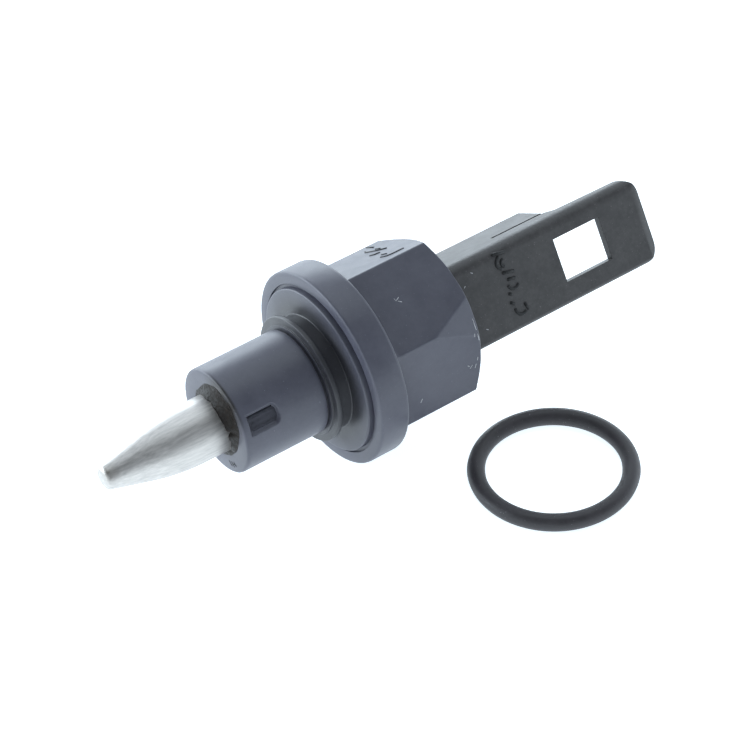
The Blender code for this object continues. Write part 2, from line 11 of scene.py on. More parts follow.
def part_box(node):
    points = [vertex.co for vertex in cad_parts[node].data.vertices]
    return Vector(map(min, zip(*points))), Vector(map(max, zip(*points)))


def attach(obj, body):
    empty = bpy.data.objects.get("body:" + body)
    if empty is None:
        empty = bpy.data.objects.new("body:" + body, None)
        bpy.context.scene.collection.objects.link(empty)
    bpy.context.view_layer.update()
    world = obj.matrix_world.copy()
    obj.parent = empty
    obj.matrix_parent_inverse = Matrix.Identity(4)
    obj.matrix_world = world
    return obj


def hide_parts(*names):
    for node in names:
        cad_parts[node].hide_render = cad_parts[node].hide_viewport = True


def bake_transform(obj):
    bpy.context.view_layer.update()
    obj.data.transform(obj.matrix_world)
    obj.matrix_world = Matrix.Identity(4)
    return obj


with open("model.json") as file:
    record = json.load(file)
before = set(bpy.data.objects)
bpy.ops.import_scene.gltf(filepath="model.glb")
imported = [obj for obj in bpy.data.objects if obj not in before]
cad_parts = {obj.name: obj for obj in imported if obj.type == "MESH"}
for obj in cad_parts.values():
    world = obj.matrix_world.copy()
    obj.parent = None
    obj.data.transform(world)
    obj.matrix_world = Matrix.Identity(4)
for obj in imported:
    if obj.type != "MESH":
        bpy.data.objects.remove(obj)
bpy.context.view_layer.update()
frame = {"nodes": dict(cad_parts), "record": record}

MM = 0.001
LATCH_ROLL = math.radians(60.0)
STUDIO_WHITE = (0.8, 0.905, 0.98)

# Where the probe's axis and the flange's front face are, from the frame
body_low, body_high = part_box("probe_body")
mounts = {mount["name"]: mount for mount in frame["record"]["mounts"]}
AXIS_PLACE = Vector((
    mounts["flange_face"]["pos_m"][0],
    (body_low[1] + body_high[1]) / 2,
    (body_low[2] + body_high[2]) / 2,
))
AXIS_MATRIX = Matrix.Translation(AXIS_PLACE) @ Matrix.Rotation(LATCH_ROLL, 4, "X")

# Body sizes in millimetres, close to the CAD's; x runs to the rear from the flange's front face
HEX_APOTHEM = 10.5
HEX_END = 18.2
HEX_CHAMFER_RADIUS = 10.6
HEX_FACE_RADIUS = 10.2
FACET_START = 11.0
FACET_SLOPE = math.tan(math.radians(12.5))
FLANGE_RADIUS = 13.65
FLANGE_WIDTH = 4.4
RIM_RADIUS = 11.95                   # where the fine groove round the boss starts
RIM_GROOVE_DEPTH = 0.35
BOSS_RADIUS = 11.5
BOSS_FRONT = -0.6
NECK_RADIUS = 8.0
COLLAR_REAR = -2.65
COLLAR_FRONT = -3.35
COLLAR_RADIUS = 8.8
STEP_RADIUS = 7.75
STEP_FRONT = -3.55
UNDERCUT_RADIUS = 6.9
BARREL_REAR = -3.9
BARREL_RADIUS = 7.3
BARREL_FRONT = -16.2
REAR_BORE_RADIUS = 8.8
REAR_BORE_FLOOR = 8.0
SHEATH_BORE_RADIUS = 4.3
SHEATH_BORE_END = -6.0
LEAD_BORE_RADIUS = 3.9
POCKET_FRONT = -15.1
POCKET_REAR = -10.7
POCKET_HALF = 1.4
POCKET_TURN = math.radians(-4.0)
POCKET_DEPTH = 0.6
POCKET_NOSE = 0.77
SHEATH_RADIUS = 4.0
NOSE = -33.1
NOSE_EDGE = 0.7
TAPER_REAR = -19.9
TAPER_SLOPE = math.radians(14.4)
TAPER_ARC_RADIUS = 29.0
RECESS_RADIUS = 4.6
RECESS_FLOOR = -14.2
SHEATH_REAR = -6.3
RESIN_SIDE = math.radians(28.0)      # where the resin climbs highest, round from the tongue
RESIN_NOTCH = math.radians(345.0)
SMEAR_SIDE = math.radians(32.0)
SHROUD_HALF = 6.0
SHROUD_FRONT = 6.25
SHROUD_BACK = -3.6
SHROUD_END = 37.7
SHROUD_WALL = 1.2
SHROUD_START = 16.4
SOCKET_FLOOR = 20.2
TERMINAL_SLOT = (0.9, 4.3)
TERMINAL_SLOT_HEIGHT = (-0.7, 0.7)
PLUG_RADIUS = 8.5
PLUG_START = 8.3
PLUG_END = 18.5
SKIN_EDGE = 0.14                     # bevel on the socket's sharp edges
SLIT_FLOOR = 2.1
SLIT = 0.5
SHROUD_EDGE = 1.8
SHROUD_SMALL_EDGE = 0.6
HINGE_X = 29.15
TONGUE_END = 50.85
TONGUE_CORNER = 2.4
TONGUE_CHAMFER_LENGTH = 1.3
TONGUE_CHAMFER_DEPTH = 0.4
WINDOW_START = 35.66
WINDOW_END = 43.45
WINDOW_HALF = 3.05
MARK_SUNK = 0.04                     # how deep a stroke's middle lies under its face
PARTING_LINE = 0.03


# ---------------------------------------------------------------- shader helpers

def new_material(name):
    material = bpy.data.materials.new(name)
    material.use_nodes = True
    tree = material.node_tree
    return material, tree, tree.nodes["Principled BSDF"]


def add_node(tree, kind, inputs=(), **settings):
    """A node with its settings, and its inputs set to a value or linked from a socket."""
    node = tree.nodes.new(kind)
    for key, value in settings.items():
        setattr(node, key, value)
    for key, value in dict(inputs).items():
        if isinstance(value, bpy.types.NodeSocket):
            tree.links.new(value, node.inputs[key])
        else:
            node.inputs[key].default_value = value
    return node


def object_place(tree, stretch=(1.0, 1.0, 1.0)):
    """Object coordinates in millimetres, stretched."""
    place = add_node(tree, "ShaderNodeTexCoord").outputs["Object"]
    scale = tuple(1000.0 * factor for factor in stretch)
    return add_node(tree, "ShaderNodeMapping", {"Vector": place, "Scale": scale}).outputs["Vector"]


def noise_value(tree, place, scale, detail=2.0, roughness=0.5):
    return add_node(tree, "ShaderNodeTexNoise", {
        "Vector": place, "Scale": scale, "Detail": detail, "Roughness": roughness,
    }).outputs["Fac"]


def ramp(tree, value, stops):
    """A colour ramp; stops are (position, grey or colour)."""
    node = add_node(tree, "ShaderNodeValToRGB", {"Fac": value})
    elements = node.color_ramp.elements
    while len(elements) < len(stops):
        elements.new(0.5)
    for element, (position, colour) in zip(elements, stops):
        element.position = position
        if isinstance(colour, (int, float)):
            colour = (colour, colour, colour)
        element.color = (*colour, 1.0)
    return node.outputs["Color"]


def remap(tree, value, low, high, out_low, out_high):
    return add_node(tree, "ShaderNodeMapRange", {
        "Value": value, "From Min": low, "From Max": high, "To Min": out_low, "To Max": out_high,
    }).outputs["Result"]


def mix_colour(tree, factor, first, second, blend="MIX"):
    node = tree.nodes.new("ShaderNodeMix")
    node.data_type = "RGBA"
    node.blend_type = blend
    factor_socket, first_socket, second_socket = (node.inputs[index] for index in (0, 6, 7))
    for socket, value in ((factor_socket, factor), (first_socket, first), (second_socket, second)):
        if isinstance(value, bpy.types.NodeSocket):
            tree.links.new(value, socket)
        else:
            socket.default_value = value
    return node.outputs[2]


def add_bump(tree, shader, layers):
    """Stack bump layers of (height, strength, distance in millimetres)."""
    normal = None
    for height, strength, distance in layers:
        inputs = {"Height": height, "Strength": strength, "Distance": distance * MM}
        if normal:
            inputs["Normal"] = normal
        normal = add_node(tree, "ShaderNodeBump", inputs).outputs["Normal"]
    tree.links.new(normal, shader.inputs["Normal"])


# ---------------------------------------------------------------- materials

def groove_painted_shade(tree, place):
    """Share of painted shade: most in the seal groove, fading outwards over the boss's face."""
    parts = add_node(tree, "ShaderNodeSeparateXYZ", {"Vector": place}).outputs
    across = add_node(tree, "ShaderNodeCombineXYZ", {"Y": parts["Y"], "Z": parts["Z"]})
    radius = add_node(tree, "ShaderNodeVectorMath", {0: across.outputs[0]},
                      operation="LENGTH").outputs["Value"]
    behind = remap(tree, parts["X"], -4.0, -3.4, 0.0, 0.8)
    before = remap(tree, parts["X"], -0.3, 0.1, 1.0, 0.0)
    inside = remap(tree, radius, 9.0, 11.6, 1.0, 0.15)
    share = add_node(tree, "ShaderNodeMath", {0: behind, 1: before}, operation="MULTIPLY")
    return add_node(tree, "ShaderNodeMath", {0: share.outputs[0], 1: inside},
                    operation="MULTIPLY").outputs[0]


def resin_smear(tree, place):
    """Share of brown smear where the resin has run onto the barrel's front face."""
    parts = add_node(tree, "ShaderNodeSeparateXYZ", {"Vector": place}).outputs
    middle = (BARREL_FRONT, 6.0 * math.sin(SMEAR_SIDE), 6.0 * math.cos(SMEAR_SIDE))
    away = add_node(tree, "ShaderNodeVectorMath", {0: place, 1: middle},
                    operation="DISTANCE").outputs["Value"]
    ragged = noise_value(tree, place, 0.9, 3.0)
    near = remap(tree, away, 2.2, 4.8, 1.0, 0.0)
    on_face = remap(tree, parts["X"], BARREL_FRONT + 0.2, BARREL_FRONT + 0.5, 0.95, 0.0)
    patchy = add_node(tree, "ShaderNodeMath", {0: near, 1: remap(tree, ragged, 0.3, 0.6, 0.7, 1.0)},
                      operation="MULTIPLY")
    return add_node(tree, "ShaderNodeMath", {0: patchy.outputs[0], 1: on_face},
                    operation="MULTIPLY").outputs[0]


def moulded_plastic(name, dark, light, roughness, grain, speck_share, uneven, soiled_and_shaded=False):
    """Moulded plastic: cloudy colour, fine grain, faint flow lines and a few pale specks."""
    material, tree, shader = new_material(name)
    place = object_place(tree)
    cloud = noise_value(tree, place, 0.35, 4.0, 0.6)
    base = ramp(tree, cloud, [(0.3, dark), (0.7, light)])
    mottle = ramp(tree, noise_value(tree, place, 1.6, 4.0, 0.7), [(0.3, 1.0 - uneven), (0.7, 1.0)])
    base = mix_colour(tree, 1.0, base, mottle, "MULTIPLY")
    if soiled_and_shaded:
        # painted shade: this near-black colour stands in for the shade in the seal groove and over
        # the boss's face; the brown resin smear below is a real stain
        base = mix_colour(tree, groove_painted_shade(tree, place), base, (0.017, 0.0165, 0.017, 1.0))
        base = mix_colour(tree, resin_smear(tree, place), base, (0.016, 0.0125, 0.01, 1.0))
    specks = noise_value(tree, place, 5.5, 1.0)
    speck_mask = remap(tree, specks, speck_share, speck_share + 0.03, 0.0, 0.5)
    pale = tuple(min(1.0, 3.2 * channel) for channel in light) + (1.0,)
    tree.links.new(mix_colour(tree, speck_mask, base, pale), shader.inputs["Base Color"])
    fine = noise_value(tree, place, grain, 3.0, 0.6)
    flow = noise_value(tree, object_place(tree, (1.6, 0.15, 0.15)), 1.2, 3.0)
    tree.links.new(remap(tree, cloud, 0.3, 0.7, roughness - 0.05, roughness + 0.06),
                   shader.inputs["Roughness"])
    add_bump(tree, shader, [(flow, 0.05, 0.06), (fine, 0.25, 0.03)])
    shader.inputs["Specular IOR Level"].default_value = 0.5
    return material


def brushed_sheath():
    """Satin drawn metal with fine marks along it and a warm stain on the nose."""
    material, tree, shader = new_material("sheath_skin")
    streaks = noise_value(tree, object_place(tree, (0.12, 1.0, 1.0)), 3.0, 4.0, 0.65)
    place = object_place(tree)
    spot = tuple((NOSE + 0.55, 1.5 * math.sin(RESIN_SIDE), 1.5 * math.cos(RESIN_SIDE)))
    away = add_node(tree, "ShaderNodeVectorMath", {0: place, 1: spot},
                    operation="DISTANCE").outputs["Value"]
    steel = ramp(tree, streaks, [(0.3, (0.43, 0.415, 0.4)), (0.7, (0.63, 0.605, 0.58))])
    stain = ramp(tree, remap(tree, away, 0.0, 2.0, 0.0, 1.0),
                 [(0.05, 0.7), (0.2, 0.3), (0.9, 0.0)])
    cloud = noise_value(tree, place, 1.8, 3.0)
    patchy = add_node(tree, "ShaderNodeMath", {0: stain, 1: remap(tree, cloud, 0.3, 0.6, 0.5, 1.0)},
                      operation="MULTIPLY")
    brown = (0.16, 0.13, 0.09, 1.0)
    colour = mix_colour(tree, patchy.outputs[0], steel, brown)
    tree.links.new(colour, shader.inputs["Base Color"])
    shader.inputs["Metallic"].default_value = 1.0
    tree.links.new(remap(tree, streaks, 0.3, 0.7, 0.4, 0.52), shader.inputs["Roughness"])
    pits = noise_value(tree, place, 3.5, 3.0, 0.7)
    add_bump(tree, shader, [(streaks, 0.25, 0.03), (pits, 0.2, 0.02)])
    return material


def set_resin():
    """Dark brown resin, lumpy, with glossy and dull patches."""
    material, tree, shader = new_material("resin_skin")
    place = object_place(tree)
    lumps = noise_value(tree, place, 1.6, 5.0, 0.65)
    colour = ramp(tree, lumps, [(0.3, (0.004, 0.0028, 0.002)), (0.6, (0.012, 0.0075, 0.005)),
                                (0.8, (0.05, 0.034, 0.022))])
    tree.links.new(colour, shader.inputs["Base Color"])
    tree.links.new(remap(tree, lumps, 0.3, 0.7, 0.3, 0.7), shader.inputs["Roughness"])
    shader.inputs["Specular IOR Level"].default_value = 0.25
    add_bump(tree, shader, [(lumps, 0.7, 0.25)])
    return material


def moulded_rubber():
    """Black rubber with a satin skin, a trace of bloom and grey lint."""
    material, tree, shader = new_material("rubber_skin")
    place = object_place(tree)
    bloom = noise_value(tree, place, 0.5, 4.0, 0.6)
    base = ramp(tree, bloom, [(0.35, (0.03, 0.0268, 0.03)), (0.7, (0.044, 0.039, 0.044))])
    lint = noise_value(tree, place, 4.2, 1.5)
    mask = remap(tree, lint, 0.715, 0.75, 0.0, 0.55)
    tree.links.new(mix_colour(tree, mask, base, (0.22, 0.22, 0.23, 1.0)),
                   shader.inputs["Base Color"])
    tree.links.new(remap(tree, bloom, 0.35, 0.7, 0.42, 0.58), shader.inputs["Roughness"])
    fine = noise_value(tree, place, 5.0, 3.0, 0.6)
    add_bump(tree, shader, [(fine, 0.3, 0.03)])
    return material


def plain_metal(name, colour, roughness):
    material, tree, shader = new_material(name)
    place = object_place(tree)
    worn = noise_value(tree, place, 1.1, 4.0)
    darker = tuple(0.75 * channel for channel in colour)
    tree.links.new(ramp(tree, worn, [(0.3, darker), (0.7, colour)]), shader.inputs["Base Color"])
    shader.inputs["Metallic"].default_value = 1.0
    tree.links.new(remap(tree, worn, 0.3, 0.7, roughness, roughness + 0.15),
                   shader.inputs["Roughness"])
    add_bump(tree, shader, [(noise_value(tree, place, 6.0, 2.0), 0.15, 0.02)])
    return material


def plain_surface(name, colour, roughness):
    material, tree, shader = new_material(name)
    place = object_place(tree)
    cloud = noise_value(tree, place, 1.0, 4.0)
    darker = tuple(0.8 * channel for channel in colour)
    tree.links.new(ramp(tree, cloud, [(0.3, darker), (0.7, colour)]), shader.inputs["Base Color"])
    tree.links.new(remap(tree, cloud, 0.3, 0.7, roughness, roughness + 0.1),
                   shader.inputs["Roughness"])
    add_bump(tree, shader, [(noise_value(tree, place, 4.0, 3.0), 0.3, 0.03)])
    return material


def floor_surface():
    """A pale light table, which glows enough to swallow shadows."""
    material, tree, shader = new_material("floor")
    cloud = noise_value(tree, object_place(tree), 0.02, 2.0)
    tree.links.new(ramp(tree, cloud, [(0.3, 0.86), (0.7, 0.88)]), shader.inputs["Base Color"])
    shader.inputs["Roughness"].default_value = 0.9
    shader.inputs["Specular IOR Level"].default_value = 0.1
    shader.inputs["Emission Color"].default_value = (*STUDIO_WHITE, 1.0)
    shader.inputs["Emission Strength"].default_value = 1.0
    return material


# the body's plastic carries painted shade in the seal groove and over the boss's face, and a real
# resin smear on the barrel's front face
body_skin_material = moulded_plastic(
    "body_skin", (0.07, 0.0705, 0.094), (0.087, 0.0875, 0.113), 0.38, 7.0, 0.76, 0.08, soiled_and_shaded=True)
socket_skin_material = moulded_plastic(
    "socket_skin", (0.044, 0.0415, 0.042), (0.066, 0.062, 0.062), 0.42, 5.0, 0.73, 0.3)
sheath_skin_material = brushed_sheath()
resin_skin_material = set_resin()
# painted shade: the marks' near-black colour stands in for the shade in the grooves of moulded
# lettering
painted_shade_mark_material = moulded_plastic(
    "painted_shade_mark_skin", (0.008, 0.008, 0.009), (0.014, 0.014, 0.015), 0.6, 7.0, 0.85, 0.2)
nick_material = moulded_plastic(
    "nick_skin", (0.45, 0.45, 0.47), (0.62, 0.62, 0.64), 0.6, 7.0, 0.85, 0.2)
rubber_skin_material = moulded_rubber()


# ---------------------------------------------------------------- mesh helpers

def finish_mesh(name, sheet, material):
    """Turn a bmesh in millimetres, drawn in the frame of the axis, into a placed object."""
    bmesh.ops.scale(sheet, vec=(MM, MM, MM), verts=sheet.verts)
    bmesh.ops.recalc_face_normals(sheet, faces=sheet.faces)
    mesh = bpy.data.meshes.new(name)
    sheet.to_mesh(mesh)
    sheet.free()
    mesh.shade_smooth()
    item = bpy.data.objects.new(name, mesh)
    bpy.context.scene.collection.objects.link(item)
    item.data.materials.append(material)
    item.matrix_world = AXIS_MATRIX
    return item


def filleted(corners, steps=3):
    """Round the corners of an open (x, radius, fillet) path; returns (x, radius) points."""
    points = []
    for index, (x, radius, fillet) in enumerate(corners):
        here = Vector((x, radius))
        if fillet <= 0 or index in (0, len(corners) - 1):
            points.append((x, radius))
            continue
        before = Vector(corners[index - 1][:2]) - here
        after = Vector(corners[index + 1][:2]) - here
        reach_before = min(fillet, 0.45 * before.length)
        reach_after = min(fillet, 0.45 * after.length)
        start = here + before.normalized() * reach_before
        end = here + after.normalized() * reach_after
        for step in range(steps + 1):
            t = step / steps
            point = (1 - t) ** 2 * start + 2 * t * (1 - t) * here + t * t * end
            points.append((point.x, point.y))
    return points


def spaced(low, high, step):
    count = max(1, round(abs(high - low) / step))
    return [low + (high - low) * index / count for index in range(count + 1)]


def polar_skin(name, rows, angles, radius_at, material, closed=True):
    """A grid round the axis; row i at angle t lies at x and radius_at(i, x, radius, t)."""
    sheet = bmesh.new()
    grid = []
    for index, (x, radius) in enumerate(rows):
        line = []
        for angle in angles:
            reach = radius_at(index, x, radius, angle)
            line.append(sheet.verts.new((x, reach * math.sin(angle), reach * math.cos(angle))))
        grid.append(line)
    count = len(angles)
    last = len(grid) if closed else len(grid) - 1
    for i in range(last):
        upper, lower = grid[i], grid[(i + 1) % len(grid)]
        for j in range(count):
            sheet.faces.new((upper[j], lower[j], lower[(j + 1) % count], upper[(j + 1) % count]))
    if not closed:
        sheet.faces.new(grid[0])
        sheet.faces.new(grid[-1][::-1])
    return finish_mesh(name, sheet, material)


def even_angles(count):
    return [2 * math.pi * index / count for index in range(count)]


def soft_min(first, second, size):
    gap = max(size - abs(first - second), 0.0) / size
    return min(first, second) - gap * gap * size / 4


def solid(x_range, y_range, z_range):
    """A box as a loose cutter object, in millimetres in the frame of the axis."""
    sheet = bmesh.new()
    made = bmesh.ops.create_cube(sheet, size=1.0)["verts"]
    for axis, (low, high) in enumerate((x_range, y_range, z_range)):
        for vertex in made:
            vertex.co[axis] = low if vertex.co[axis] < 0 else high
    return cutter(sheet)


def cutter(sheet):
    bmesh.ops.recalc_face_normals(sheet, faces=sheet.faces)
    mesh = bpy.data.meshes.new("cutter")
    sheet.to_mesh(mesh)
    sheet.free()
    item = bpy.data.objects.new("cutter", mesh)
    bpy.context.scene.collection.objects.link(item)
    return item


def joined(sheet, rings):
    """Join two rings of vertices with walls, close both ends and make the cutter."""
    near, far = rings
    for index in range(len(near)):
        following = (index + 1) % len(near)
        sheet.faces.new((near[index], near[following], far[following], far[index]))
    sheet.faces.new(near)
    sheet.faces.new(far[::-1])
    return cutter(sheet)


def prism(outline, low, high, plane):
    """An outline in the XY or XZ plane, drawn out between two limits of the third axis."""
    sheet = bmesh.new()
    rings = []
    for limit in (low, high):
        ring = []
        for first, second in outline:
            place = (first, second, limit) if plane == "XY" else (first, limit, second)
            ring.append(sheet.verts.new(place))
        rings.append(ring)
    return joined(sheet, rings)


def evaluated_mesh(item):
    depsgraph = bpy.context.evaluated_depsgraph_get()
    return bpy.data.meshes.new_from_object(item.evaluated_get(depsgraph))


def carve(base, steps, edge, material, name, stays_sharp):
    """Apply Booleans in turn and soften the sharp edges that the test doesn't keep."""
    for operation, other in steps:
        boolean = base.modifiers.new("carve", "BOOLEAN")
        boolean.operation = operation
        boolean.object = other
    sheet = bmesh.new()
    sheet.from_mesh(evaluated_mesh(base))
    for item in [base] + [other for _, other in steps]:
        bpy.data.objects.remove(item, do_unlink=True)
    weight = sheet.edges.layers.float.new("bevel_weight_edge")
    for line in sheet.edges:
        if len(line.link_faces) == 2 and line.calc_face_angle() > math.radians(32.0):
            line[weight] = 0.0 if all(stays_sharp(vertex.co) for vertex in line.verts) else 1.0
    placed = finish_mesh(name, sheet, material)
    bevel = placed.modifiers.new("soft_edges", "BEVEL")
    bevel.width = edge * MM
    bevel.segments = 2
    bevel.limit_method = "WEIGHT"
    placed.data = evaluated_mesh(placed)
    placed.modifiers.clear()
    placed.data.shade_smooth()
    placed.data.set_sharp_from_angle(angle=math.radians(40.0))
    weighted = placed.modifiers.new("weighted_normals", "WEIGHTED_NORMAL")
    weighted.keep_sharp = True
    return placed


def on_slit(place):
    """Edges along the slit stay sharp, and so does the join ahead of it, which is one surface."""
    return SLIT_FLOOR - 0.05 < place.z < SLIT_FLOOR + SLIT + 0.05


# ---------------------------------------------------------------- probe body

def body_angles():
    """Fine steps round the pocket and the facet, which both face the tongue's side."""
    fine_reach = 22.0
    degrees = spaced(-fine_reach, fine_reach, 0.65)
    degrees += spaced(fine_reach, 360.0 - fine_reach, 2.6)[1:-1]
    for corner in range(60, 301, 60):
        degrees += [corner + offset for offset in (-1.3, -0.7, -0.25, 0.0, 0.25, 0.7, 1.3)]
    kept = []
    for angle in sorted(degrees):
        if not kept or angle - kept[-1] > 0.2:
            kept.append(angle)
    return [math.radians(angle) for angle in kept]


def hex_radius(x, angle):
    """Hexagon with softened corners, its rear cone and the flat cut on its first corner."""
    folded = math.degrees(angle) % 60.0 - 30.0
    corner = HEX_APOTHEM / math.cos(math.radians(folded))
    other = HEX_APOTHEM / math.cos(math.radians(60.0 - abs(folded)))
    radius = soft_min(corner, other, 0.18)
    cone = HEX_CHAMFER_RADIUS + (HEX_END - x) / math.tan(math.radians(30.0))
    radius = soft_min(radius, cone, 0.12)
    if x > FACET_START - 0.5 and math.cos(angle) > 0.5:
        flat = HEX_APOTHEM / math.cos(math.radians(30.0)) - (x - FACET_START) * FACET_SLOPE
        radius = soft_min(radius, flat / math.cos(angle), 0.1)
    return radius


def pocket_radius(x, radius, angle):
    """Cut the flat-floored pocket into the barrel, with soft edges and a round rear end."""
    angle -= POCKET_TURN
    across = abs(radius * math.sin(angle))
    nose_start = POCKET_REAR - POCKET_NOSE
    if x < nose_start:
        outside = max(POCKET_FRONT - x, across - POCKET_HALF)
    else:
        reach = math.hypot((x - nose_start) / POCKET_NOSE, across / POCKET_HALF)
        outside = (reach - 1.0) * POCKET_HALF
    soft = 0.11
    share = min(max((soft - outside) / (2 * soft), 0.0), 1.0)
    share = share * share * (3 - 2 * share)
    floor = (radius - POCKET_DEPTH) / math.cos(angle)
    return radius + (min(floor, radius) - radius) * share


def build_body_skin():
    outer = [
        (FLANGE_WIDTH, 11.0, 0.0),
        (FLANGE_WIDTH, FLANGE_RADIUS, 0.5),
        (0.0, FLANGE_RADIUS, 0.4),
        (0.0, RIM_RADIUS, 0.08),
        (RIM_GROOVE_DEPTH, RIM_RADIUS, 0.05),
        (RIM_GROOVE_DEPTH, BOSS_RADIUS, 0.05),
        (BOSS_FRONT, BOSS_RADIUS, 0.24),
        (BOSS_FRONT, NECK_RADIUS, 0.16),
        (COLLAR_REAR, NECK_RADIUS, 0.1),
        (COLLAR_REAR, COLLAR_RADIUS, 0.12),
        (COLLAR_FRONT, COLLAR_RADIUS, 0.14),
        (COLLAR_FRONT, STEP_RADIUS, 0.06),
        (STEP_FRONT, STEP_RADIUS, 0.06),
        (STEP_FRONT, UNDERCUT_RADIUS, 0.05),
        (BARREL_REAR, UNDERCUT_RADIUS, 0.05),
        (BARREL_REAR, BARREL_RADIUS, 0.1),
        (BARREL_FRONT, BARREL_RADIUS, 0.42),
        (BARREL_FRONT, RECESS_RADIUS, 0.15),
        (RECESS_FLOOR, RECESS_RADIUS, 0.05),
        (RECESS_FLOOR, SHEATH_BORE_RADIUS, 0.05),
        (SHEATH_BORE_END, SHEATH_BORE_RADIUS, 0.0),
        (SHEATH_BORE_END, LEAD_BORE_RADIUS, 0.0),
        (REAR_BORE_FLOOR, LEAD_BORE_RADIUS, 0.05),
        (REAR_BORE_FLOOR, REAR_BORE_RADIUS, 0.1),
        (HEX_END, REAR_BORE_RADIUS, 0.15),
        (HEX_END, HEX_FACE_RADIUS, 0.0),
    ]
    turned = filleted(outer)
    pocket_places = spaced(POCKET_REAR + 0.3, POCKET_FRONT - 0.25, 0.11)
    pocket_rows = [(x, BARREL_RADIUS) for x in pocket_places]
    rows = []
    for point in turned:
        if point == turned[-1]:
            break
        rows.append(point)
        if abs(point[1] - BARREL_RADIUS) < 1e-6 and abs(point[0] - BARREL_REAR) < 0.2:
            rows += [(x, BARREL_RADIUS) for x in spaced(point[0], POCKET_REAR + 0.3, 1.2)[1:-1]]
            rows += pocket_rows
    rows.append(turned[-1])
    hex_first = len(rows)
    hex_places = spaced(HEX_END, HEX_END - 1.2, 0.1)
    hex_places += spaced(HEX_END - 1.2, FACET_START - 0.4, 0.2)[1:]
    hex_places += spaced(FACET_START - 0.4, FLANGE_WIDTH, 1.2)[1:]
    rows += [(x, None) for x in hex_places]

    def radius_at(index, x, radius, angle):
        if index >= hex_first:
            return hex_radius(x, angle)
        if abs(radius - BARREL_RADIUS) < 1e-6 and POCKET_FRONT - 0.26 < x < POCKET_REAR + 0.35:
            return pocket_radius(x, radius, angle)
        if index == 0:
            return max(radius, hex_radius(x, angle) + 0.05)
        return radius

    skin = polar_skin("body_skin", rows, body_angles(), radius_at, body_skin_material)
    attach(skin, "probe")
    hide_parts("probe_body")


# ---------------------------------------------------------------- sheath and resin

def taper_radius(x):
    """The cone behind the nose and the arc that leads it into the full radius."""
    reach = max(TAPER_REAR - x, 0.0)
    on_arc = min(reach, TAPER_ARC_RADIUS * math.sin(TAPER_SLOPE))
    drop = TAPER_ARC_RADIUS - math.sqrt(TAPER_ARC_RADIUS**2 - on_arc**2)
    return SHEATH_RADIUS - drop - (reach - on_arc) * math.tan(TAPER_SLOPE)


def build_sheath_skin():
    rows = [(SHEATH_REAR, SHEATH_RADIUS - 0.5), (SHEATH_REAR, SHEATH_RADIUS)]
    rows += [(x, taper_radius(x)) for x in spaced(TAPER_REAR, NOSE + NOSE_EDGE, 0.4)]
    tip_radius = rows[-1][1]
    for step in range(1, 9):
        angle = math.radians(90.0 * step / 8)
        rows.append((NOSE + NOSE_EDGE - NOSE_EDGE * math.sin(angle),
                     tip_radius - NOSE_EDGE * (1 - math.cos(angle))))
    rows.append((NOSE, 0.4))
    skin = polar_skin("sheath_skin", rows, even_angles(96),
                      lambda index, x, radius, angle: radius, sheath_skin_material, closed=False)
    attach(skin, "probe")
    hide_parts("sensor_tip")


def build_resin_skin():
    """Lumpy resin that fills the recess, climbs the sheath on one side and smears the face."""
    sheet = bmesh.new()
    around, across = 240, 14
    inner, floor = SHEATH_RADIUS - 0.05, RECESS_FLOOR - 0.05
    grid = []
    for step in range(around):
        angle = 2 * math.pi * step / around
        flow = Vector((math.cos(angle), math.sin(angle), 0.0))
        seen = max(0.0, math.cos(angle - RESIN_SIDE))
        climb = 0.25 + 0.65 * seen + 0.3 * noise.noise(flow * 2.6 + Vector((0, 0, 3.1)))
        climb -= 0.45 * max(0.0, 1 - abs(angle - RESIN_NOTCH) / 0.12)
        outer = RECESS_RADIUS + 0.1 + 1.9 * seen**2 + 0.35 * noise.noise(flow * 3.1)
        line = [(floor, inner)]
        for index in range(across + 1):
            share = index / across
            rough = 0.07 * noise.noise(Vector((9 * flow.x, 9 * flow.y, 5 * share)))
            slope = (1 - share) ** 2.2
            line.append((BARREL_FRONT - 0.03 - climb * slope - rough * (1 - share),
                         inner + (outer - inner) * share))
        line.append((BARREL_FRONT + 0.06, outer))
        line.append((BARREL_FRONT + 0.06, RECESS_RADIUS - 0.02))
        line.append((floor, RECESS_RADIUS - 0.02))
        grid.append([sheet.verts.new((x, radius * math.sin(angle), radius * math.cos(angle)))
                     for x, radius in line])
    for step in range(around):
        here, following = grid[step], grid[(step + 1) % around]
        size = len(here)
        for index in range(size):
            other = (index + 1) % size
            sheet.faces.new((here[index], here[other], following[other], following[index]))
    skin = finish_mesh("resin_skin", sheet, resin_skin_material)
    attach(skin, "probe")
    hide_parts("tip_potting")


# ---------------------------------------------------------------- socket and latch

def rounded_section(x_range, low, high, segments=6):
    """A bar along x with its two long edges on the tongue side rounded unequally."""
    outline = [(-SHROUD_HALF, low)]
    for side, first, edge in ((-1, 180.0, SHROUD_SMALL_EDGE), (1, 90.0, SHROUD_EDGE)):
        for step in range(segments + 1):
            angle = math.radians(first - 90.0 * step / segments)
            outline.append((side * (SHROUD_HALF - edge) + edge * math.cos(angle),
                            high - edge + edge * math.sin(angle)))
    outline.append((SHROUD_HALF, low))
    sheet = bmesh.new()
    rings = [[sheet.verts.new((x, y, z)) for y, z in outline] for x in x_range]
    return joined(sheet, rings)


